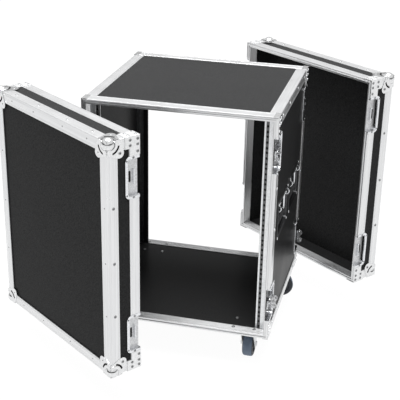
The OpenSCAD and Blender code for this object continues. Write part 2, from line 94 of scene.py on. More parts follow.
CUP_V, CUP_U, CUP_R, CUP_DEPTH = 67, 44, 9, 17
HANDLE_LIP = 13
PIN_W, PIN_U = -7, 35       # pivot of a bail in its cup
BAIL_R, BAIL_V, BAIL_DROP = 4, 59, 52
LUG_V = 66                  # rings that hold the ends of a bail
BAIL_BEND = 9
GRIP_R, GRIP_HALF = 7, 50
GRIP_STEP, GRIP_RIBS = 5.2, 8           # ribs of a grip to each side of its middle one
SPRING_FIRST, SPRING_LAST, SPRING_TURNS = 20, 50, 8
BALL_R, BALL_IN, BALL_LEG, PETAL_R = 17.7, 10, 48, 13
BALL_FLAT = 0.93            # share of the ball's radius where its tip starts to flatten
BALL_SUNK = 0.5             # how deep the ball's inner part lies in the cover's corner
LINING = SKIN - 9           # inner surface of the side panels
RAIL_SET = 30               # rail faces behind the openings
RAIL_X = 223.5              # free edge of a rail
RAIL_SIDE = 27              # depth of a rail's side leg
STRIP_HALF, STRIP_SUNK = 3.9, 0.8       # pierced strip of a rail
HOLE_X, HOLE_R = 232.55, 3.5
HOLE_FIRST, HOLE_STEP = 6.7, 15.875     # first hole above the rail's end, step in a unit
UNIT, UNITS = 44.45, 14
WHEEL_R, WHEEL_HALF, HUB_R = 37.5, 15, 28.5
SHOULDER = 6.5              # rounding of a tyre's shoulders
MITRE = 0.05                # half of the gap in a mitred corner


# ---------- mesh helpers ----------

def skin(bm, rings, mat=0, wrap=False):
    """Joins rings of points, each a closed loop, into one solid; a wrapped one has no caps."""
    made = [[bm.verts.new(p) for p in ring] for ring in rings]
    count = len(made[0])
    pairs = list(zip(made, made[1:])) + ([(made[-1], made[0])] if wrap else [])
    faces = [
        bm.faces.new((a[i], a[(i + 1) % count], b[(i + 1) % count], b[i]))
        for a, b in pairs
        for i in range(count)
    ]
    if not wrap:
        faces += [bm.faces.new(made[0][::-1]), bm.faces.new(made[-1])]
    for face in faces:
        face.material_index = mat


def inset(outline, by):
    """A closed outline moved inwards by a little, for soft edges."""
    pts = [Vector(p) for p in outline]
    area = sum(a.x * b.y - b.x * a.y for a, b in zip(pts, pts[1:] + pts[:1]))
    turn = 1 if area > 0 else -1
    moved = []
    for i, p in enumerate(pts):
        before = (p - pts[i - 1]).normalized()
        after = (pts[(i + 1) % len(pts)] - p).normalized()
        n = Vector((-before.y - after.y, before.x + after.x)) * turn
        n.normalize()
        share = max(0.5, n.dot(Vector((-before.y, before.x)) * turn))
        moved.append(p + n * (by / share))
    return moved


def plate(bm, outline, low, high, at, soft, mat=0, holes=()):
    """A plate with softened edges from a 2D outline; at(u, v, w) gives the place of a point."""
    if not holes:
        small = inset(outline, soft)
        levels = [(small, low), (outline, low + soft), (outline, high - soft), (small, high)]
        skin(bm, [[at(p[0], p[1], w) for p in pts] for pts, w in levels], mat)
        return
    loops = [list(outline)] + [list(h) for h in holes]
    flat = [p for loop in loops for p in loop]
    ends = [[bm.verts.new(at(p[0], p[1], w)) for p in flat] for w in (low, high)]
    made = []
    for tri in tessellate_polygon([[Vector((p[0], p[1], 0)) for p in loop] for loop in loops]):
        made += [bm.faces.new([end[i] for i in tri]) for end in ends]
    start = 0
    for loop in loops:
        for i in range(len(loop)):
            j = (i + 1) % len(loop)
            made.append(bm.faces.new((ends[0][start + i], ends[0][start + j],
                                      ends[1][start + j], ends[1][start + i])))
        start += len(loop)
    for face in made:
        face.material_index = mat


def arc(centre, r, first, last, steps):
    """Points of an arc, angles in degrees."""
    return [
        (centre[0] + r * cos(radians(first + (last - first) * i / steps)),
         centre[1] + r * sin(radians(first + (last - first) * i / steps)))
        for i in range(steps + 1)
    ]


def rounded(half_u, half_v, r, steps):
    """Outline of a rectangle with round corners."""
    u, v = half_u - r, half_v - r
    return (arc((u, v), r, 0, 90, steps) + arc((-u, v), r, 90, 180, steps)
            + arc((-u, -v), r, 180, 270, steps) + arc((u, -v), r, 270, 360, steps))


def lathe(bm, profile, at, mat=0, count=24, closed=False):
    """Turns a profile of (radius, height) about the axis u = v = 0 of at(u, v, w)."""
    rings = []
    for r, w in profile:
        angles = [2 * pi * i / count for i in range(count)]
        rings.append([at(r * cos(a), r * sin(a), w) for a in angles])
    skin(bm, rings, mat, wrap=closed)


def tube(bm, path, r, count=14):
    """A round bar along a path of points in a plane of constant x."""
    path = [Vector(p) for p in path]
    rings = []
    for i, p in enumerate(path):
        along = (path[min(i + 1, len(path) - 1)] - path[max(i - 1, 0)]).normalized()
        side = Vector((1, 0, 0))
        across = along.cross(side).normalized()
        rings.append([p + r * (cos(2 * pi * k / count) * side + sin(2 * pi * k / count) * across)
                      for k in range(count)])
    skin(bm, rings)


def piece(name, bm, looks, body, replaces=(), matrix=None):
    """Makes an object in metres from a shape in millimetres and puts it on its body."""
    bmesh.ops.recalc_face_normals(bm, faces=bm.faces[:])
    for edge in bm.edges:
        edge.smooth = edge.calc_face_angle(pi) < SHARP
    for face in bm.faces:
        face.smooth = True
    bmesh.ops.scale(bm, vec=(MM, MM, MM), verts=bm.verts[:])
    mesh = bpy.data.meshes.new(name)
    bm.to_mesh(mesh)
    bm.free()
    obj = bpy.data.objects.new(name, mesh)
    bpy.context.scene.collection.objects.link(obj)
    for look in looks:
        mesh.materials.append(look)
    if matrix is not None:
        obj.matrix_world = matrix
    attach(obj, body)
    if replaces:
        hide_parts(*replaces)


def soften(obj):
    """Small round edges, as on pressed and cut metal."""
    obj.modifiers.new("weld", "WELD").merge_threshold = 1e-6
    mod = obj.modifiers.new("edges", "BEVEL")
    mod.width = EDGE * MM
    mod.segments = 2
    mod.limit_method = "ANGLE"
    mod.angle_limit = SHARP


# ---------- frames of the body and the covers ----------

def body_place(x, y, z):
    """A point of the case body, whose height is given from the middle of its rims."""
    return Vector((x, y, Z_MID + z))


def cover_matrix(end):
    """Where a cover's local frame is: turned as its joint draws it off, set by its rim's box."""
    axis = next(j["axis"] for j in frame["joints"] if j["name"] == end + "_cover_draw_off")
    turn = Matrix.Rotation(atan2(axis[0], -axis[1]), 4, "Z")
    low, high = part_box(end + "_cover_rim")
    rim_middle = Vector((0, -(TONGUE + LEG) / 2 * MM, 0))
    return Matrix.Translation((low + high) / 2) @ turn @ Matrix.Translation(-rim_middle)


COVERS = {end: cover_matrix(end) for end in ENDS}


def cover_place(end):
    """Takes a point of a cover's local frame to the row frame, both in millimetres."""
    m = COVERS[end].copy()
    m.translation = m.translation / MM
    return lambda x, y, z: m @ Vector((x, y, z))


# ---------- materials ----------

class Look:
    """A material with one Principled shader and short calls for its texture nodes."""

    def __init__(self, name, **values):
        self.mat = bpy.data.materials.new(name)
        self.mat.use_nodes = True
        self.nodes = self.mat.node_tree.nodes
        self.shader = self.nodes["Principled BSDF"]
        for socket, value in values.items():
            self.shader.inputs[socket.replace("_", " ")].default_value = value
        self.place = self.nodes.new("ShaderNodeTexCoord").outputs["Object"]

    def link(self, source, socket):
        self.mat.node_tree.links.new(source, socket)

    def noise(self, scale, detail, stretch=(1, 1, 1), rough=0.5, warp=0.0):
        mapping = self.nodes.new("ShaderNodeMapping")
        mapping.inputs["Scale"].default_value = stretch
        self.link(self.place, mapping.inputs["Vector"])
        node = self.nodes.new("ShaderNodeTexNoise")
        node.inputs["Scale"].default_value = scale
        node.inputs["Detail"].default_value = detail
        node.inputs["Roughness"].default_value = rough
        node.inputs["Distortion"].default_value = warp
        self.link(mapping.outputs["Vector"], node.inputs["Vector"])
        return node.outputs["Fac"]

    def cells(self, scale):
        node = self.nodes.new("ShaderNodeTexVoronoi")
        node.inputs["Scale"].default_value = scale
        self.link(self.place, node.inputs["Vector"])
        return node.outputs["Distance"]

    def spread(self, source, low, high, first=0.3, last=0.7):
        """Maps a texture from its range first..last to low..high."""
        node = self.nodes.new("ShaderNodeMapRange")
        for socket, value in zip(("From Min", "From Max", "To Min", "To Max"),
                                 (first, last, low, high)):
            node.inputs[socket].default_value = value
        self.link(source, node.inputs["Value"])
        return node.outputs["Result"]

    def mix(self, factor, a, b):
        """A colour between a and b; each is a tuple or another node's colour."""
        node = self.nodes.new("ShaderNodeMix")
        node.data_type = "RGBA"
        self.link(factor, node.inputs["Factor"])
        for socket, value in ((node.inputs[6], a), (node.inputs[7], b)):
            if isinstance(value, tuple):
                socket.default_value = (*value, 1)
            else:
                self.link(value, socket)
        return node.outputs[2]

    def add(self, a, b, share):
        """a + share * b."""
        node = self.nodes.new("ShaderNodeMath")
        node.operation = "MULTIPLY_ADD"
        self.link(b, node.inputs[0])
        node.inputs[1].default_value = share
        self.link(a, node.inputs[2])
        return node.outputs[0]

    def colour(self, source):
        self.link(source, self.shader.inputs["Base Color"])

    def roughness(self, source):
        self.link(source, self.shader.inputs["Roughness"])

    def bump(self, height, strength, distance):
        node = self.nodes.new("ShaderNodeBump")
        node.inputs["Strength"].default_value = strength
        node.inputs["Distance"].default_value = distance
        self.link(height, node.inputs["Height"])
        self.link(node.outputs["Normal"], self.shader.inputs["Normal"])


def laminate():
    """Black fine-grained laminate, a little uneven and dusty."""
    look = Look("black_laminate", Specular_IOR_Level=0.02)
    cloud = look.noise(7, 4)
    weave = look.noise(330, 3, rough=0.6)
    grain = look.noise(950, 2)
    specks = look.noise(420, 2, rough=0.7)
    base = look.mix(look.spread(weave, 0, 1), (0.009, 0.0092, 0.0096), (0.036, 0.0362, 0.0366))
    dust = look.spread(specks, 0, 0.3, 0.62, 0.78)
    look.colour(look.mix(dust, base, (0.08, 0.08, 0.081)))
    look.roughness(look.add(look.spread(cloud, 0.24, 0.3), grain, 0.08))
    look.bump(look.add(grain, specks, 0.5), 0.22, 0.0002)
    return look.mat


def aluminium(name, along):
    """Satin anodised extrusion with fine draw lines along one axis of its own frame."""
    stretch = tuple(0.012 if k == along else 1 for k in range(3))
    look = Look(name, Metallic=0.88)
    lines = look.noise(1500, 3, stretch)
    bands = look.noise(260, 2, stretch)
    smudge = look.noise(16, 4)
    marks = look.noise(190, 3, tuple(0.3 if k == along else 1 for k in range(3)), 0.6, 0.6)
    base = look.mix(look.spread(bands, 0, 1), (0.69, 0.695, 0.702), (0.78, 0.784, 0.79))
    look.colour(look.mix(look.spread(marks, 0, 0.3, 0.68, 0.8), base, (0.48, 0.49, 0.5)))
    look.roughness(look.add(look.spread(smudge, 0.22, 0.3), lines, 0.12))
    look.bump(look.add(lines, bands, 0.6), 0.16, 0.0001)
    return look.mat


def steel(name, dark, light, low, high, bump=0.12, metallic=1.0):
    """Plated sheet steel: faint spangle, handling marks and uneven gloss."""
    look = Look(name, Metallic=metallic)
    spangle = look.cells(230)
    smudge = look.noise(28, 4)
    scratch = look.noise(300, 3, (1, 0.06, 1), 0.6, 0.4)
    wear = look.spread(look.noise(75, 5, rough=0.65), 0, 0.4, 0.6, 0.75)
    base = look.mix(look.spread(spangle, 0, 1, 0.1, 0.8), dark, light)
    look.colour(look.mix(wear, base, tuple(0.7 * c for c in dark)))
    look.roughness(look.add(look.spread(smudge, low, high), scratch, 0.1))
    look.bump(look.add(scratch, smudge, 0.4), bump, 0.0002)
    return look.mat


def rubber(name, dark, light, rough, scale=700, bump=0.35):
    """Moulded rubber or plastic with a fine pitted surface and rubbed patches."""
    look = Look(name, Specular_IOR_Level=0.35)
    pits = look.noise(scale, 2)
    rubbed = look.noise(45, 5, rough=0.6)
    look.colour(look.mix(look.spread(rubbed, 0, 1), dark, light))
    look.roughness(look.add(look.spread(rubbed, rough, rough + 0.12), pits, 0.08))
    look.bump(look.add(pits, rubbed, 0.6), bump, 0.0003)
    return look.mat


def floor_look():
    """Pale studio floor: nearly all of its brightness is its own, so that it stays even."""
    look = Look("studio_floor", Specular_IOR_Level=0.1)
    cloud = look.noise(0.7, 3)
    look.colour(look.mix(look.spread(cloud, 0, 1), (0.05, 0.05, 0.05), (0.06, 0.06, 0.06)))
    look.roughness(look.spread(cloud, 0.7, 0.8))
    look.shader.inputs["Emission Color"].default_value = (1, 1, 1, 1)
    look.shader.inputs["Emission Strength"].default_value = 0.96
    return look.mat


LAMINATE = laminate()
ALU = [aluminium("aluminium_" + axis, k) for k, axis in enumerate("xyz")]
ZINC = steel("zinc_steel", (0.66, 0.67, 0.69), (0.8, 0.81, 0.83), 0.12, 0.22)
CHROME = steel("chrome_steel", (0.6, 0.61, 0.63), (0.72, 0.73, 0.75), 0.06, 0.14, 0.08)
# Painted reflection: the plated keys and hooks are darkened, in dark and bright patches, to stand
# in for the dark case that they mirror.
KEY_PAINTED_REFLECTION = steel("key_steel_painted_reflection", (0.1, 0.102, 0.107), (0.56, 0.565, 0.575), 0.05, 0.12, 0.16)
# Painted shade: the latch dishes' floors are near-black steel that stands in for the shade
# filling the dishes.
DISH_FLOOR_SHADE = steel("dish_floor_painted_shade", (0.02, 0.0205, 0.0215), (0.06, 0.061, 0.063), 0.14, 0.24)
FLOOR = steel("keeper_floor_steel", (0.5, 0.505, 0.515), (0.68, 0.685, 0.695), 0.3, 0.44,
              metallic=0.7)
STUD = steel("stud_steel", (0.16, 0.163, 0.168), (0.28, 0.284, 0.29), 0.24, 0.36)
BRACE = steel("brace_steel", (0.72, 0.725, 0.73), (0.82, 0.825, 0.83), 0.28, 0.38, metallic=0.8)
BODY_BRACE = steel("body_brace_steel", (0.74, 0.745, 0.75), (0.84, 0.845, 0.85), 0.1, 0.18)
CORNER = steel("corner_steel", (0.66, 0.665, 0.67), (0.78, 0.785, 0.79), 0.06, 0.14)
RAIL = steel("rail_steel", (0.7, 0.71, 0.72), (0.82, 0.83, 0.84), 0.28, 0.4)
# Dark steel of the pierced strips, also laid on the rear rails' faces as painted shade.
RAIL_STRIP_AND_SHADE = steel("rail_strip_and_painted_shade_steel", (0.1, 0.102, 0.105), (0.16, 0.162, 0.165), 0.34, 0.46)
BOLT = steel("bolt_steel", (0.26, 0.263, 0.268), (0.36, 0.363, 0.368), 0.3, 0.42)
RIVET_LIGHT = steel("bright_rivet_steel", (0.74, 0.75, 0.76), (0.86, 0.87, 0.88), 0.2, 0.3)
# Painted shade: the covers' rivets are darkened to mid grey, a shaded copy of the bright rivet
# steel above, which also dims their glints.
RIVET_PAINTED_SHADE = steel("rivet_steel", (0.28, 0.283, 0.288), (0.38, 0.383, 0.388), 0.48, 0.58)
CASTOR = steel("castor_steel", (0.62, 0.63, 0.64), (0.76, 0.77, 0.78), 0.24, 0.36)
# Painted reflection: the handle dishes' plated steel is near-black, standing in for the black
# panels that it mirrors.
CUP_PAINTED_REFLECTION = steel("handle_dish_painted_reflection", (0.05, 0.051, 0.053), (0.09, 0.091, 0.094), 0.3, 0.42)
GRIP = rubber("grip_rubber", (0.012, 0.012, 0.013), (0.03, 0.03, 0.032), 0.55)
# Dark rubber of the castor cores, also laid on the tyres' side walls as painted shade.
CORE_AND_TYRE_SHADE = rubber("castor_core", (0.014, 0.016, 0.02), (0.035, 0.038, 0.045), 0.4, 500, 0.2)
TREAD = rubber("castor_tread", (0.085, 0.115, 0.165), (0.13, 0.165, 0.22), 0.5)
SLOT_SHADOW = rubber("slot_shadow", (0.004, 0.004, 0.004), (0.009, 0.009, 0.009), 0.8)


# ---------- aluminium extrusions ----------

def flutes(n, marks, half, depth):
    """Shallow flutes in a face at n: marks are their places along the face, in order."""
    step = half if marks[-1] > marks[0] else -half
    return [p for m in marks
            for p in ((n, m - step), (n + depth, m - step * 0.4), (n + depth, m + step * 0.4),
                      (n, m + step))]


def rim_profile(front, flange, tongue):
    """Outline of a rim extrusion as (inset from the outside, depth from its face)."""
    mid = RIM_T / 2
    out = [(0, front + flange)]
    out += flutes(0, [front + flange - 4, front + flange - 6.5, front + 5], 0.5, 0.4)
    out += [(0, front + 1.2), (0.35, front + 0.35), (1.2, front)]
    if tongue:
        half = TONGUE / 2
        out += [(mid - half, front), (mid - half, 0.5), (mid - half + 0.5, 0),
                (mid + half - 0.5, 0), (mid + half, 0.5), (mid + half, front)]
    else:
        half = GROOVE_W / 2
        out += [(mid - half, front), (mid - half, front + TONGUE),
                (mid + half, front + TONGUE), (mid + half, front)]
    return out + inner_side(front) + [(SHEET, front + WEB), (SHEET, front + flange)]


def inner_side(front):
    """The ribbed flange inside the rim, as part of its outline."""
    ribs = [front + 4 + 2.6 * k for k in range(10)]
    return ([(RIM_T - 1, front), (RIM_T, front + 1)] + flutes(RIM_T, ribs, 0.9, -0.6)
            + [(RIM_T, front + INNER), (RIM_T - SHEET, front + INNER),
               (RIM_T - SHEET, front + WEB)])


def notch_profile(front):
    """What is left of a rim beside a latch dish."""
    cut = RECESS + PLATE
    return [(cut, front + WEB), (cut, front)] + inner_side(front)


def bar(bm, profile, place, first, last, mitred, mat):
    """One extruded bar; place(t, n, v) gives a point, and mitred says which ends are mitred."""
    rings = [[place(first + (n + MITRE) * mitred[0], n, v) for n, v in profile],
             [place(last - (n + MITRE) * mitred[1], n, v) for n, v in profile]]
    skin(bm, rings, mat)


def ring_of_bars(bm, profile, depth_sign, shift, place, notched=None, half_notch=0.0):
    """Four mitred bars around a rectangle. notched is the profile beside the latch dishes."""
    for s in (-1, 1):
        bar(bm, profile, lambda t, n, v: place(t, shift + depth_sign * v, s * (HALF_H - n)),
            -HALF_W, HALF_W, (1, 1), 0)

        def upright(t, n, v):
            return place(s * (HALF_W - n), shift + depth_sign * v, t)

        if notched is None:
            bar(bm, profile, upright, -HALF_H, HALF_H, (1, 1), 2)
            continue
        cuts = [k * LATCH_Z + j * half_notch for k in (-1, 1) for j in (-1, 1)]
        bar(bm, profile, upright, -HALF_H, cuts[0], (1, 0), 2)
        bar(bm, notched, upright, cuts[0], cuts[1], (0, 0), 2)
        bar(bm, profile, upright, cuts[1], cuts[2], (0, 0), 2)
        bar(bm, notched, upright, cuts[2], cuts[3], (0, 0), 2)
        bar(bm, profile, upright, cuts[3], HALF_H, (0, 1), 2)


NOTCH = DISH_L / 2 - LIP + PLATE


def angle_profile():
    """Outline of an edge angle with a rounded back and a few draw lines on each leg."""
    back = [(r[0], r[1]) for r in arc((2.2, 2.2), 2.2, 180, 270, 4)]
    one = [(0, LEG)] + flutes(0, [LEG - 3.5, LEG - 6, 6.5], 0.5, 0.4) + back
    other = [(b, a) for a, b in flutes(0, [6.5, LEG - 6, LEG - 3.5], 0.5, 0.4)]
    return one + other + [(LEG, 0), (LEG, SHEET), (SHEET, SHEET), (SHEET, LEG)]


def plain(x, y, z):
    """A point of a cover's local frame; the cover's matrix places the whole piece."""
    return Vector((x, y, z))


def body_extrusions():
    for end, sy in ENDS.items():
        bm = bmesh.new()
        ring_of_bars(bm, rim_profile(0, FLANGE, False), -sy, sy * HALF_D, body_place,
                     notch_profile(0), NOTCH)
        piece(end + "_rim_extrusions", bm, ALU, "case_body", [end + "_rim"])
    bm = bmesh.new()
    reach = HALF_D - FLANGE
    for sx in (-1, 1):
        for sz in (-1, 1):
            bar(bm, angle_profile(),
                lambda t, n, v: body_place(sx * (HALF_W - n), t, sz * (HALF_H - v)),
                -reach, reach, (0, 0), 1)
    piece("edge_angle_extrusions", bm, ALU, "case_body", ["edge_angles"])


def cover_extrusions(end):
    body = end + "_cover"
    bm = bmesh.new()
    ring_of_bars(bm, rim_profile(TONGUE, LEG, True), -1, 0, plain, notch_profile(TONGUE), NOTCH)
    piece(body + "_rim_extrusions", bm, ALU, body, [body + "_rim"], COVERS[end])

    bm = bmesh.new()
    ring_of_bars(bm, angle_profile(), 1, -COVER_D, plain)
    for sx in (-1, 1):
        for sz in (-1, 1):
            bar(bm, angle_profile(),
                lambda t, n, v: plain(sx * (HALF_W - n), t, sz * (HALF_H - v)),
                LEG - COVER_D, -TONGUE - LEG, (0, 0), 1)
    piece(body + "_edge_extrusions", bm, ALU, body, [body + "_edging"], COVERS[end])


# ---------- pressed dishes, latches and keepers ----------

def pressed_wall(bm, path, at, depth, lip, closed):
    """Wall and lip of a pressed dish along a path of (u, v, outward u, outward v)."""
    section = [(0, -depth), (0, -0.2), (0.35, PLATE - 0.45), (1.2, PLATE), (lip - 0.6, PLATE),
               (lip, PLATE - 0.6), (lip, 0), (PLATE, 0), (PLATE, -depth - PLATE),
               (0, -depth - PLATE)]
    skin(bm, [[at(u + nu * s, v + nv * s, w) for s, w in section] for u, v, nu, nv in path],
         wrap=closed)


def path_of(points):
    """Adds outward normals to a path that turns left around a dish."""
    pts = [Vector(p) for p in points]
    made = []
    for i, p in enumerate(pts):
        along = (pts[min(i + 1, len(pts) - 1)] - pts[max(i - 1, 0)]).normalized()
        made.append((p.x, p.y, along.y, -along.x))
    return made


def tray(bm, at, width, slot):
    """Latch or keeper dish, open towards the rim at v = 0; a keeper's floor has a slot at v."""
    half, deep, r = DISH_L / 2 - LIP, width - LIP, DISH_R
    corner = arc((half - r, deep - r), r, 0, 90, 5) + arc((r - half, deep - r), r, 90, 180, 5)
    outline = [(half, 0)] + corner + [(-half, 0)]
    pressed_wall(bm, path_of(outline), at, RECESS, LIP, False)
    floor = [(half + 0.6, 0), (half + 0.6, deep + 0.6), (-half - 0.6, deep + 0.6),
             (-half - 0.6, 0)]
    holes = [[(u, v + slot) for u, v in rounded(15, 3.2, 3, 4)]] if slot else []
    # Material 2 of the floor: on the case's latches near-black steel as painted shade, on the
    # keepers their own bright steel.
    plate(bm, floor, -RECESS - PLATE, -RECESS, at, 0.2, mat=2, holes=holes)
    if slot:
        # A near-black plate under the slot: painted shadow seen through the hole.
        back = [(u, v + slot) for u, v in rounded(17, 5, 3, 4)]
        plate(bm, back, -RECESS - PLATE + 0.1, -RECESS - PLATE + 0.5, at, 0.1, mat=1)
    for s in (-1, 1):
        lathe(bm, [(2.5, PLATE - 0.1), (2.4, PLATE + 0.3), (1.6, PLATE + 0.75),
                   (0.5, PLATE + 0.85)],
              lambda a, b, w, s=s: at(a + s * (half - 3), b + deep + LIP / 2, w), 3, 14)


def body_latch_spots():
    """Name and at(u, v, w) of every latch: u up, v inwards from the rim, w out of the side."""
    for side, sx in SIDES.items():
        for end, sy in ENDS.items():
            for level, sz in LEVELS.items():
                def at(u, v, w, sx=sx, sy=sy, sz=sz):
                    return body_place(sx * (HALF_W + w), sy * (HALF_D - v), sz * LATCH_Z + u)
                yield f"{side}_{end}_{level}", at


def cover_latch_spots(place):
    """at(u, v, w) of every keeper of a cover, as for the latches."""
    for sx in (-1, 1):
        for sz in (-1, 1):
            yield lambda u, v, w, sx=sx, sz=sz: place(
                sx * (HALF_W + w), -TONGUE - v, sz * LATCH_Z + u)


def wing_outline():
    """Two-lobed key as seen along the rim, (u, w) points around its middle."""
    lobe_r, lobe_w, waist, middle, steps = 9.7, 9.1, 6.6, 7, 72
    points = []
    for k in range(steps):
        a = 2 * pi * k / steps
        direction = Vector((cos(a), sin(a)))
        reach = waist
        for s in (-1, 1):
            c = Vector((s * LOBE_U, lobe_w - middle))
            b = direction.dot(c)
            disc = b * b - c.dot(c) + lobe_r * lobe_r
            if disc > 0 and b > 0:
                reach = max(reach, b + disc ** 0.5)
        points.append(direction * reach)
    for _ in range(2):
        points = [(points[k - 1] + points[k] * 2 + points[(k + 1) % steps]) / 4
                  for k in range(steps)]
    return [(p.x, max(p.y + middle, -1)) for p in points]


def standing_wings(key, at, wing):
    """The two lobes of a key standing out of its dish, with their pressed bosses."""
    lathe(key, [(3.35, 6.4), (3.35, 8.9), (2.6, 9.6), (0.6, 9.8)],
          lambda u, v, w: at(u, v + DRUM_V, w - RECESS), count=16)
    plate(key, wing, -1.25, 1.25, lambda a, b, c: at(a, DRUM_V + c, b), 0.5)
    for s in (-1, 1):
        plate(key, rounded(4.2, 4.2, 4, 5), -1.6, 1.6,
              lambda a, b, c: at(a + s * LOBE_U, DRUM_V + c, b + 9.4), 0.4)


def folded_wings(key, at):
    """The lobes lying over the drum, with the knuckle that they fold on."""
    for s in (-1, 1):
        lobe = arc((LOBE_U, 0), 9.8, -122, 122, 18) + [(1.6, 7), (1.6, -7)]
        plate(key, lobe, -0.9, 1.5, lambda a, b, c: at(s * a, DRUM_V + b, c), 0.4)
        plate(key, rounded(4.2, 4.2, 4, 5), 1.4, 2.1,
              lambda a, b, c: at(s * (a + LOBE_U + 1), DRUM_V + b, c), 0.3)
    lathe(key, [(1.4, -8), (2.3, -7.4), (2.3, -2.4), (2, -2.2), (2, 2.2), (2.3, 2.4), (2.3, 7.4),
                (1.4, 8)], lambda a, b, c: at(a, DRUM_V + c, b + 1.5), count=16)


def latches():
    """Dishes with their studs and drawn-back hooks, and the keys that turn on the studs."""
    dishes, hooks = bmesh.new(), bmesh.new()
    wing = wing_outline()
    for name, at in body_latch_spots():
        tray(dishes, at, LATCH_W, 0)

        def around_drum(u, v, w, at=at):
            return at(u, v + DRUM_V, w - RECESS)

        lathe(dishes, [(2.7, 0), (2.95, 0.4), (2.95, 4.6), (2.5, 5)], around_drum, count=20)
        hook = [(20, 0.15), (20, 2.5), (7.5, 2.5), (6.3, 5.6), (4.6, 6.2), (3.2, 5.2), (3, 3),
                (3.4, 0.6), (4.2, 0.15)]
        plate(hooks, hook, -HOOK_HALF, HOOK_HALF,
              lambda a, b, c, at=at: at(c, a, b - RECESS), 0.4)
        for s in (-1, 1):
            plate(hooks, [(21, 0.2), (21, 4.6), (12, 4.6), (9, 2.6), (9, 0.2)], s * 9 - 1.2,
                  s * 9 + 1.2, lambda a, b, c, at=at: at(c, a, b - RECESS), 0.3)

        key = bmesh.new()
        lathe(key, [(3.3, 0.3), (8.4, 0.3), (9, 0.9), (9, 6.9), (8.2, 8.2), (6.5, 8.8),
                    (3.3, 8.8)], around_drum, count=32, closed=True)
        if name.endswith("upper"):
            folded_wings(key, at)
        else:
            standing_wings(key, at, wing)
        piece("latch_key_" + name, key, [KEY_PAINTED_REFLECTION], "latch_" + name, ["latch_wing_" + name])
    piece("latch_dish_pressings", dishes, [ZINC, SLOT_SHADOW, DISH_FLOOR_SHADE, STUD], "case_body",
          ["latch_dishes"])
    piece("latch_hook_pressings", hooks, [KEY_PAINTED_REFLECTION], "case_body", ["latch_hooks"])


def keepers(end):
    """Keeper dishes of a cover, each with the bar that its latch hooks behind."""
    bm = bmesh.new()
    for at in cover_latch_spots(cover_place(end)):
        tray(bm, at, KEEPER_W, KEEPER_V)
        plate(bm, [(12, -0.2), (12, 5), (12.7, 6), (13.8, 6), (14.5, 5), (14.5, -0.2)],
              -BAR_HALF, BAR_HALF, lambda a, b, c, at=at: at(c, a, b - RECESS), 0.3)
    body = end + "_cover"
    piece(body + "_keeper_pressings", bm, [ZINC, SLOT_SHADOW, FLOOR, STUD], body, [body + "_keepers"])


# ---------- handles ----------

def handle_at(sx, sy):
    """at(u, v, w) of a handle: u up, v to the rear, w out of the side panel."""
    return lambda u, v, w: body_place(sx * (SKIN + w), sy * HANDLE_Y + v, u)


def coil(bm, at, size, turns, closed=False):
    """Round wire wound about a bail's pivot: radius, wire radius, first and last v, height."""
    r, wire, first, last, height = size
    per_turn, around = 14, 8
    steps = per_turn * turns
    rings = []
    for k in range(steps if closed else steps + 1):
        a, v = 2 * pi * k / per_turn, first + (last - first) * k / steps
        rings.append([at(PIN_U + (r + wire * cos(b)) * cos(a), v + wire * sin(b),
                         PIN_W + height + (r + wire * cos(b)) * sin(a))
                      for b in (2 * pi * j / around for j in range(around))])
    skin(bm, rings, wrap=closed)


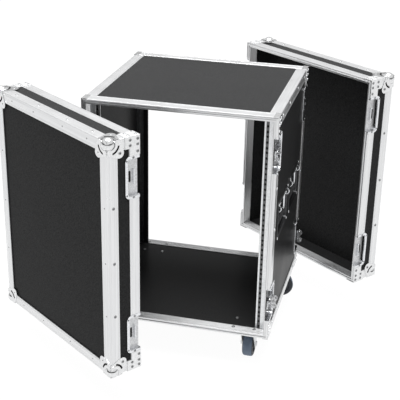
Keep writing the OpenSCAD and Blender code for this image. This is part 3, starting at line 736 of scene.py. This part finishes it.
def handles():
    """Dishes, springs with their lug rings, and each bail and its ribbed grip."""
    cups, springs = bmesh.new(), bmesh.new()
    for side, sx in SIDES.items():
        for end, sy in ENDS.items():
            at = handle_at(sx, sy)
            outline = rounded(CUP_U, CUP_V, CUP_R, 5)
            loop = [Vector(p) for p in outline]
            path = []
            for i, p in enumerate(loop):
                along = (loop[(i + 1) % len(loop)] - loop[i - 1]).normalized()
                path.append((p.x, p.y, along.y, -along.x))
            pressed_wall(cups, path, at, CUP_DEPTH, HANDLE_LIP, True)
            plate(cups, rounded(CUP_U + 0.6, CUP_V + 0.6, CUP_R, 5), -CUP_DEPTH - PLATE,
                  -CUP_DEPTH, at, 0.2)
            name = f"{side}_{end}"
            bail = bmesh.new()
            foot = PIN_U - BAIL_DROP
            curve = [(PIN_U, -BAIL_V), (foot + BAIL_BEND + 8, -BAIL_V)]
            curve += [(foot + BAIL_BEND - b, -BAIL_V + BAIL_BEND - a)
                      for a, b in arc((0, 0), BAIL_BEND, 0, 90, 6)]
            curve += [(u, -v) for u, v in reversed(curve)]
            tube(bail, [at(u, v, PIN_W) for u, v in curve], BAIL_R)
            for s in (-1, 1):
                def pin(a, b, w, at=at, s=s):
                    return at(PIN_U + a, s * (BAIL_V - 5 + w), PIN_W + b)
                lathe(bail, [(2, 0), (5.6, 0.2), (6, 0.8), (6, 8.2), (5.4, 9), (3, 9.1),
                             (2.9, 13)], pin, count=20)
                coil(bail, at, (5.8, 1.8, s * BAIL_V, s * BAIL_V, 0), 1, closed=True)
                coil(springs, at, (4.8, 1.2, s * SPRING_FIRST, s * SPRING_LAST, 0), SPRING_TURNS)
                coil(springs, at, (9, 1.9, s * LUG_V, s * LUG_V, 4.5), 1, closed=True)
            lathe(springs, [(1.5, -53), (2.6, -52), (2.6, 52), (1.5, 53)],
                  lambda a, b, w, at=at: at(PIN_U + a, w, PIN_W + b), count=16)
            piece("bail_" + name, bail, [CHROME], "handle_" + name, ["handle_bail_" + name])
            grip = bmesh.new()
            rings = [(4.3, -GRIP_HALF), (6.2, -GRIP_HALF), (GRIP_R, 1.2 - GRIP_HALF)]
            for k in range(-GRIP_RIBS, GRIP_RIBS + 1):
                v = GRIP_STEP * k
                rings += [(GRIP_R, v - 1.7), (GRIP_R - 0.8, v - 0.9), (GRIP_R - 0.8, v + 0.9),
                          (GRIP_R, v + 1.7)]
            rings += [(GRIP_R, GRIP_HALF - 1.2), (6.2, GRIP_HALF), (4.3, GRIP_HALF)]
            lathe(grip, rings, lambda a, b, w, at=at: at(foot + a, w, PIN_W + b), count=28)
            piece("grip_" + name, grip, [GRIP], "handle_" + name, ["handle_grip_" + name])
    piece("handle_cup_pressings", cups, [CUP_PAINTED_REFLECTION], "case_body", ["handle_dishes"])
    piece("handle_springs_and_lugs", springs, [CHROME], "case_body")


# ---------- ball corners, braces and rivets ----------

def petal_outline():
    """One leg of a ball corner, with the box corner at the origin."""
    far = BALL_LEG - PETAL_R
    return ([(-PLATE, -PLATE), (34, -PLATE)]
            + arc((far, far), PETAL_R, -32, 122, 14) + [(-PLATE, 34)])


def crescent():
    """Slot in a petal, bowed around the ball."""
    centre, outer, inner = (BALL_IN, BALL_IN), 26.4, 21.3
    return arc(centre, outer, 12, 78, 12) + arc(centre, inner, 78, 12, 12)


def collar(bm, at):
    """Raised ring where the ball leaves a petal, open where the next petal begins."""
    section = [(12.6, 0.2), (12.6, 3.2), (14.6, 3.2), (16, 2.6), (19, 2.6), (20.3, 2.1),
               (20.9, 1.2), (20.9, 0.2)]
    first, sweep, steps = -36, 162, 18
    rings = []
    for k in range(steps + 1):
        a = radians(first + sweep * k / steps)
        rings.append([at(BALL_IN + r * cos(a), BALL_IN + r * sin(a), w) for r, w in section])
    skin(bm, rings)


def ball_corners(end):
    """Three slotted petals, their collars and a ball on each outer corner of a cover."""
    place = cover_place(end)
    bm = bmesh.new()
    for sx in (-1, 1):
        for sz in (-1, 1):
            def corner(p, q, r, sx=sx, sz=sz):
                return place(sx * (HALF_W + p), q - COVER_D, sz * (HALF_H + r))

            faces = [lambda a, b, w, c=corner: c(-a, -w, -b),
                     lambda a, b, w, c=corner: c(-a, b, w),
                     lambda a, b, w, c=corner: c(w, a, -b)]
            for at in faces:
                plate(bm, petal_outline(), 0.02, PLATE, at, 0.3, holes=[crescent()])
                # A near-black plate behind the crescent: painted shadow in the slot.
                back = [(a, b) for a, b in inset(crescent(), -1.2)]
                plate(bm, back, 0.1, 0.4, at, 0.1, mat=1)
                collar(bm, at)
            centre = corner(-BALL_IN, BALL_IN, -BALL_IN)
            made = bmesh.ops.create_icosphere(bm, subdivisions=5, radius=BALL_R,
                                              matrix=Matrix.Translation(centre))
            tip = corner(0, 0, 0)
            out = (tip - centre).normalized()
            inward = [corner(-1, 0, 0) - tip, corner(0, 1, 0) - tip, corner(0, 0, -1) - tip]
            for vert in made["verts"]:
                past = (vert.co - centre).dot(out) - BALL_FLAT * BALL_R
                if past > 0:
                    vert.co -= out * past / 2
                depth = min((vert.co - tip).dot(way) for way in inward)
                if depth > BALL_SUNK:
                    vert.co = tip + (vert.co - tip) * (BALL_SUNK / depth)
    body = end + "_cover"
    piece(body + "_corner_pressings", bm, [CORNER, SLOT_SHADOW], body, [body + "_ball_corners"])


def solids_of(node):
    """The vertices of each separate solid of a CAD node, in millimetres."""
    bm = bmesh.new()
    bm.from_mesh(frame["nodes"][node].data)
    bmesh.ops.remove_doubles(bm, verts=bm.verts[:], dist=1e-6)
    seen, found = set(), []
    for start in bm.verts:
        if start in seen:
            continue
        seen.add(start)
        group, todo = [], [start]
        while todo:
            vert = todo.pop()
            group.append(vert.co / MM)
            for edge in vert.link_edges:
                other = edge.other_vert(vert)
                if other not in seen:
                    seen.add(other)
                    todo.append(other)
        found.append(group)
    bm.free()
    return found


def rivets(node, body, look):
    """Domed blind rivets with their mandrel pits, where the CAD has its rivets."""
    bm = bmesh.new()
    for group in solids_of(node):
        pts = np.array([list(p) for p in group])
        middle = pts.mean(0)
        _, _, rows = np.linalg.svd(pts - middle)
        axis = rows[2]
        height = (pts - middle) @ axis
        radius = np.linalg.norm((pts - middle) - np.outer(height, axis), axis=1)
        if radius[height > 0].max() > radius[height < 0].max():
            axis, height = -axis, -height
        base = Vector(middle + axis * height.min())
        out = Vector(axis)
        side = out.orthogonal().normalized()
        across = out.cross(side)
        r, h = radius.max(), height.max() - height.min()
        profile = [(r, 0), (r, 0.22 * h), (0.9 * r, 0.55 * h), (0.68 * r, 0.84 * h),
                   (0.4 * r, h), (0.34 * r, h)]
        pit = [(0.33 * r, h), (0.3 * r, 0.45 * h), (0.02 * r, 0.4 * h)]

        def at(u, v, w, base=base, out=out, side=side, across=across):
            return base + side * u + across * v + out * w

        lathe(bm, profile, at, 0, 14)
        # Near-black faces in the mandrel pit: painted shade.
        lathe(bm, [(p, w + 0.03) for p, w in pit], at, 1, 8)
    piece(node + "_domed", bm, [look, SLOT_SHADOW], body, [node])


# ---------- rack rails ----------

def rectangle(u0, u1, v0, v1):
    return [(u0, v0), (u1, v0), (u1, v1), (u0, v1)]


def pierced(bm, size, holes, faces):
    """A strip (half width, low, high) along v, on two faces, with a round hole at each height."""
    half, low, high = size
    count = 16
    edges = [low] + [(a + b) / 2 for a, b in zip(holes, holes[1:])] + [high]
    made = []
    for k, v in enumerate(holes):
        below, above = edges[k] - v, edges[k + 1] - v
        round_pts = arc((0, 0), HOLE_R, 0, 360 * (count - 1) / count, count - 1)
        square_pts = []
        for u, w in round_pts:
            reach = max(abs(u), abs(w))
            u, w = u / reach, w / reach
            square_pts.append((u * half, w * (above if w > 0 else -below)))
        rings = [[[bm.verts.new(at(u, v + w)) for u, w in pts] for at in faces]
                 for pts in (round_pts, square_pts)]
        hole, edge = rings
        made += [vert for ring in hole + edge for vert in ring]
        for i in range(count):
            j = (i + 1) % count
            quads = [(hole[0][i], hole[0][j], hole[1][j], hole[1][i])]
            quads += [(hole[n][i], hole[n][j], edge[n][j], edge[n][i]) for n in (0, 1)]
            seam = 2 <= i < 6 and k < len(holes) - 1 or 10 <= i < 14 and k > 0
            if not seam:
                quads.append((edge[0][i], edge[0][j], edge[1][j], edge[1][i]))
            for quad in quads:
                bm.faces.new(quad).material_index = 1
    bmesh.ops.remove_doubles(bm, verts=made, dist=1e-4)


def rails(end, sy):
    """Folded rails with a sunk pierced strip, each backed by a thin black plate of painted
    shadow; the rear rails' faces are painted dark as shade.
    """
    low, high = (corner.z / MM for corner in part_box(end + "_rack_rails"))
    strip = (HOLE_X - STRIP_HALF, HOLE_X + STRIP_HALF)
    holes = [low + HOLE_FIRST + UNIT * unit + HOLE_STEP * step
             for unit in range(UNITS) for step in range(3)]
    bm = bmesh.new()
    for sx in (-1, 1):
        def face(x, z, y, sx=sx):
            return Vector((sx * x, sy * (HALF_D - RAIL_SET - y), z))

        def leg(y, z, x, sx=sx):
            return face(x, z, y)

        plate(bm, rectangle(RAIL_X, strip[0], low, high), 0, SHEET, face, 0.3)
        plate(bm, rectangle(strip[1], LINING, low, high), 0, SHEET, face, 0.3)
        pierced(bm, (HOLE_X - strip[0], low, high), holes,
                [lambda x, z: face(HOLE_X + x, z, STRIP_SUNK),
                 lambda x, z: face(HOLE_X + x, z, SHEET)])
        plate(bm, rectangle(SHEET, RAIL_SIDE, low, high), LINING - SHEET, LINING, leg, 0.3)
        # A near-black plate behind the strip: painted shadow seen through its holes.
        plate(bm, rectangle(strip[0] - 2, strip[1] + 2, low + 2, high - 2), SHEET + 0.2,
              SHEET + 0.8, face, 0.1, mat=2)
    # Painted shade: the rear rails take the strips' dark steel in place of the front rails'
    # bright steel.
    face_look = RAIL if end == "front" else RAIL_STRIP_AND_SHADE
    piece(end + "_rack_rail_pressings", bm, [face_look, RAIL_STRIP_AND_SHADE, SLOT_SHADOW], "case_body",
          [end + "_rack_rails"])


# ---------- castors ----------

def castors():
    """Tyres with round shoulders and moulded side walls, about the axles of the roll joints."""
    for side in SIDES:
        for end in ENDS:
            name = f"{side}_{end}"
            low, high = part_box("castor_tyre_" + name)
            centre = (low + high) / 2 / MM
            axle = next(Vector(j["axis"]) for j in frame["joints"]
                        if j["name"] == f"castor_{name}_roll")
            up = Vector((0, 0, 1))
            ahead = up.cross(axle)

            def at(u, v, w, centre=centre, axle=axle, ahead=ahead):
                return centre + axle * w + ahead * u + up * v

            bm = bmesh.new()
            edge = [(HUB_R, 1 - WHEEL_HALF), (HUB_R + 0.5, 0.4 - WHEEL_HALF),
                    (WHEEL_R - SHOULDER, -WHEEL_HALF)]
            edge += [(r - 0.2, SHOULDER - WHEEL_HALF - w)
                     for w, r in arc((0, WHEEL_R - SHOULDER), SHOULDER, 15, 90, 5)]
            profile = edge + [(WHEEL_R, 0)] + [(r, -w) for r, w in reversed(edge)]
            lathe(bm, profile, at, 0, 72, closed=True)
            # Painted shade: the faces near the tyre's sides take the core's dark rubber.
            for face in bm.faces:
                wide = abs((face.calc_center_median() - centre).dot(axle))
                if wide > WHEEL_HALF - 0.35 * SHOULDER:
                    face.material_index = 1
            piece("tyre_" + name, bm, [TREAD, CORE_AND_TYRE_SHADE], "castor_wheel_" + name,
                  ["castor_tyre_" + name])


def carried_over():
    """CAD nodes whose shape is right as it is: they get their material, the metal soft edges."""
    looks = {"top_panel": LAMINATE, "bottom_panel": LAMINATE, "left_side_panel": LAMINATE,
             "right_side_panel": LAMINATE, "body_corner_braces": BODY_BRACE,
             "castor_bolts": BOLT, "castor_plates": CASTOR}
    for end in ENDS:
        looks[end + "_cover_boards"] = LAMINATE
        looks[end + "_cover_corner_braces"] = BRACE
        for side in SIDES:
            looks[f"castor_fork_{side}_{end}"] = CASTOR
            looks[f"castor_hub_{side}_{end}"] = CORE_AND_TYRE_SHADE
    for name, look in looks.items():
        obj = frame["nodes"][name]
        obj.data.materials.clear()
        obj.data.materials.append(look)
        if look is not LAMINATE:
            soften(obj)


# ---------- camera, light and floor ----------

def camera():
    """Raised view from the front right; the lens is for the 36 mm sensor."""
    place, yaw, pitch, roll, lens = Vector((0.637, -2.604, 1.553)), -0.239, 0.409, 0.021, 88.9
    ahead = Vector((sin(yaw) * cos(pitch), cos(yaw) * cos(pitch), -sin(pitch)))
    right = ahead.cross(Vector((0, 0, 1))).normalized()
    up = right.cross(ahead)
    right, up = right * cos(roll) + up * sin(roll), up * cos(roll) - right * sin(roll)
    data = bpy.data.cameras.new("camera")
    data.sensor_width = 36
    data.lens = lens
    data.clip_end = 200
    obj = bpy.data.objects.new("camera", data)
    bpy.context.scene.collection.objects.link(obj)
    axes = Matrix((right, up, -ahead)).transposed().to_4x4()
    obj.matrix_world = Matrix.Translation(place) @ axes
    bpy.context.scene.camera = obj


def softbox(name, place, target, size, power):
    """Rectangular area light in metres and watts."""
    data = bpy.data.lights.new(name, "AREA")
    data.shape = "RECTANGLE"
    data.size, data.size_y = size
    data.energy = power
    obj = bpy.data.objects.new(name, data)
    bpy.context.scene.collection.objects.link(obj)
    aim = (Vector(target) - Vector(place)).to_track_quat("-Z", "Y")
    obj.matrix_world = Matrix.Translation(place) @ aim.to_matrix().to_4x4()


def world_share(nodes, links, source, first, last):
    """How far a direction's height or depth has gone from first to last."""
    share = nodes.new("ShaderNodeMapRange")
    share.inputs["From Min"].default_value = first
    share.inputs["From Max"].default_value = last
    links.new(source, share.inputs["Value"])
    return share.outputs["Result"]


def studio_world():
    """White above, for the metal to mirror; grey low down, dark on the camera's side."""
    world = bpy.data.worlds.new("studio")
    world.use_nodes = True
    nodes, links = world.node_tree.nodes, world.node_tree.links
    split = nodes.new("ShaderNodeSeparateXYZ")
    links.new(nodes.new("ShaderNodeTexCoord").outputs["Generated"], split.inputs[0])
    low = world_share(nodes, links, split.outputs["Z"], 0.38, 0.24)
    near = world_share(nodes, links, split.outputs["Y"], 0.0, -0.35)
    mixes = [nodes.new("ShaderNodeMix") for _ in range(2)]
    for mix, factor in zip(mixes, (near, low)):
        mix.data_type = "RGBA"
        links.new(factor, mix.inputs["Factor"])
    band, whole = mixes
    band.inputs[6].default_value = (0.42, 0.42, 0.42, 1)
    band.inputs[7].default_value = (0.03, 0.03, 0.03, 1)
    whole.inputs[6].default_value = (0.9, 0.9, 0.9, 1)
    links.new(band.outputs[2], whole.inputs[7])
    links.new(whole.outputs[2], nodes["Background"].inputs["Color"])
    bpy.context.scene.world = world


def studio():
    """Floor, surroundings and the one light."""
    bm = bmesh.new()
    half = 30
    bm.faces.new([bm.verts.new((x, y, 0)) for x, y in
                  ((-half, -half), (half, -half), (half, half), (-half, half))])
    mesh = bpy.data.meshes.new("studio_floor")
    bm.to_mesh(mesh)
    bm.free()
    floor = bpy.data.objects.new("studio_floor", mesh)
    mesh.materials.append(floor_look())
    bpy.context.scene.collection.objects.link(floor)
    studio_world()
    bpy.context.scene.view_settings.view_transform = "Standard"
    softbox("light_top", (0, -0.2, 3.5), (0, 0, 0), (2.5, 2.5), 185)


carried_over()
body_extrusions()
latches()
handles()
castors()
rivets("body_rivets", "case_body", RIVET_LIGHT)
for cover_end, end_sign in ENDS.items():
    rails(cover_end, end_sign)
    cover_extrusions(cover_end)
    keepers(cover_end)
    ball_corners(cover_end)
    rivets(cover_end + "_cover_rivets", cover_end + "_cover", RIVET_PAINTED_SHADE)
camera()
studio()
